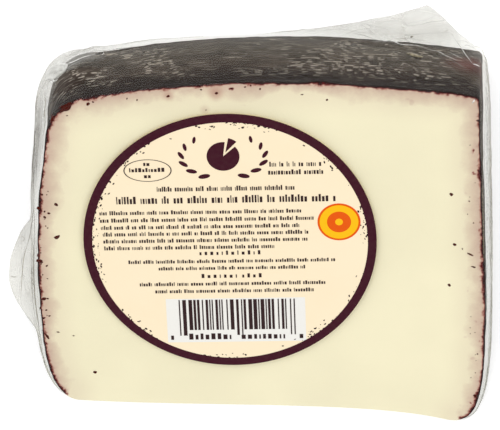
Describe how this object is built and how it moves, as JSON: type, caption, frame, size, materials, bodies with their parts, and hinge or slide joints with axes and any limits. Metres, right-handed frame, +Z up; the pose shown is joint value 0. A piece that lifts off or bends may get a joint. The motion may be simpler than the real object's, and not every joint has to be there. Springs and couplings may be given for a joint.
{
  "type": "goat cheese wedge",
  "caption": "Wedge of semi-firm goat cheese with a ribbed dark rind, wrapped in clear film with a round paper label, lying on a cut face.",
  "frame": {"origin": "middle of the underside of the bounding box, in the cut face that the wedge rests on", "axes": "+X along the tip line, which was the axis of the wheel, +Y from the tip towards the rind's rim, +Z up"},
  "size_m": [0.1032, 0.0888, 0.0422],
  "materials": {
    "cheese": "smooth cut cheese paste, slightly moist, mauve towards the rind",
    "rind": "dry ribbed wine-dark rind",
    "film": "clear glossy stretch film, creased where it is loose",
    "label": "peach-cream coated paper",
    "print": "dark ink on paper"
  },
  "bodies": {
    "root": {"wrapped_wedge": "cheese", "label": "label"}
  },
  "joints": []
}
